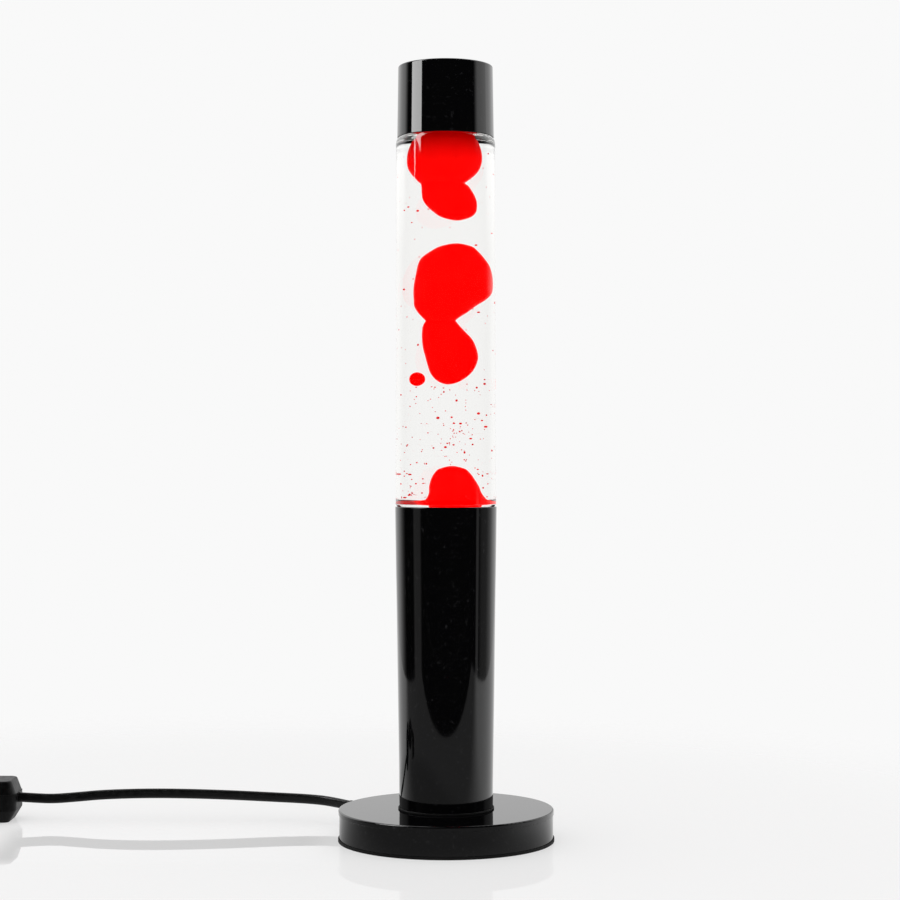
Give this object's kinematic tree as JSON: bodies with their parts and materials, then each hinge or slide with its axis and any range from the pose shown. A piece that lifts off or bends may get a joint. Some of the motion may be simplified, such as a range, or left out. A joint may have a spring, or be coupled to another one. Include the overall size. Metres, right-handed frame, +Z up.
{
  "type": "lava lamp",
  "caption": "Small lava lamp: tapered black tube on a disc base, clear bottle with drifting red wax, lift-off cap, bulb inside, mains lead with rocker switch.",
  "frame": {"origin": "centre of the lamp's underside on the table", "axes": "+Z up along the lamp's axis, -Y the front, the lead leaves the back and runs towards -X"},
  "size_m": [0.4483, 0.1302, 0.3953],
  "materials": {
    "gloss_black": "high gloss moulded, faintly dusty",
    "tube_black": "high gloss lacquer",
    "matte_black": "fine moulded texture",
    "rubber_black": "soft matte",
    "zinc_steel": "zinc plated",
    "sheet_steel": "powder coated, satin",
    "cast_weight": "rough cast",
    "brass": "rolled",
    "white_insulator": "unglazed",
    "cap_nickel": "nickel plated",
    "black_glass": "fused glass insulator",
    "bulb_glass": "clear, silvered sides",
    "tungsten": "drawn wire",
    "clear_glass": "clear, polished",
    "clear_liquid": "clear water-like liquid",
    "red_wax": "molten wax, slightly translucent",
    "cord_black": "extruded PVC, satin",
    "tie_black": "hook-and-loop strap",
    "switch_black": "moulded, semi gloss",
    "rocker_black": "moulded, polished",
    "core_blue_brown": "extruded insulation",
    "liner_white": "foamed liner",
    "closure_steel": "lacquered tinplate"
  },
  "bodies": {
    "stand": {"base_pad": "rubber_black", "base_cover": "gloss_black", "base_plate": "sheet_steel", "base_plate_screws": "zinc_steel", "ballast_ring": "cast_weight", "cord_clamp": "matte_black", "cord_clamp_screws": "zinc_steel", "strain_relief": "rubber_black", "inner_cord": "cord_black", "core_wires": "core_blue_brown", "tube_foot_ring": "gloss_black", "lower_tube": "tube_black", "nipple": "zinc_steel", "nipple_nuts": "zinc_steel", "lock_washer": "zinc_steel", "bottle_seat": "matte_black", "holder_shell": "matte_black", "holder_core": "white_insulator", "holder_thread_sleeve": "brass", "holder_centre_contact": "brass", "holder_terminal_screws": "brass", "cord_base_side": "cord_black", "cord_switch_side": "cord_black", "cord_plug_side": "cord_black", "cord_coil": "cord_black", "coil_tie": "tie_black", "switch_bottom_shell": "switch_black", "switch_top_shell": "switch_black", "switch_screws": "zinc_steel", "switch_contacts": "brass", "plug_body": "switch_black", "plug_pins": "cap_nickel"},
    "bulb": {"bulb_screw_cap": "cap_nickel", "bulb_tip_insulator": "black_glass", "bulb_contact": "zinc_steel", "bulb_glass": "bulb_glass", "bulb_stem": "bulb_glass", "filament_supports": "tungsten", "filament": "tungsten"},
    "bottle": {"glass_bottle": "clear_glass", "bottle_closure": "closure_steel", "closure_liner": "liner_white", "heat_coil": "zinc_steel", "wax_top": "red_wax", "wax_pool": "red_wax", "liquid": "clear_liquid"},
    "wax_lobe": {"wax_middle": "red_wax"},
    "wax_drop": {"wax_bead": "red_wax"},
    "cap": {"top_cap": "gloss_black"},
    "rocker": {"switch_rocker": "rocker_black", "rocker_pin": "zinc_steel"}
  },
  "joints": [
    {"name": "bottle_lift", "type": "slide", "parent": "stand", "child": "bottle", "axis": [0, 0, 1], "range_m": [0, 0.06]},
    {"name": "cap_lift", "type": "slide", "parent": "bottle", "child": "cap", "axis": [0, 0, 1], "range_m": [0, 0.04]},
    {"name": "bulb_unscrew", "type": "slide", "parent": "stand", "child": "bulb", "axis": [0, 0, 1], "range_m": [0, 0.0085]},
    {"name": "rocker_tilt", "type": "hinge", "parent": "stand", "child": "rocker", "pos_m": [-0.2615, 0.061, 0.0159], "axis": [0, 1, 0], "range_deg": [0, 20]},
    {"name": "wax_lobe_drift", "type": "slide", "parent": "bottle", "child": "wax_lobe", "axis": [0, 0, 1], "range_m": [-0.018, 0.008], "deforming": ["liquid"]},
    {"name": "wax_bead_drift", "type": "slide", "parent": "bottle", "child": "wax_drop", "axis": [0, 0, 1], "range_m": [-0.03, 0.004], "deforming": ["liquid"]}
  ]
}
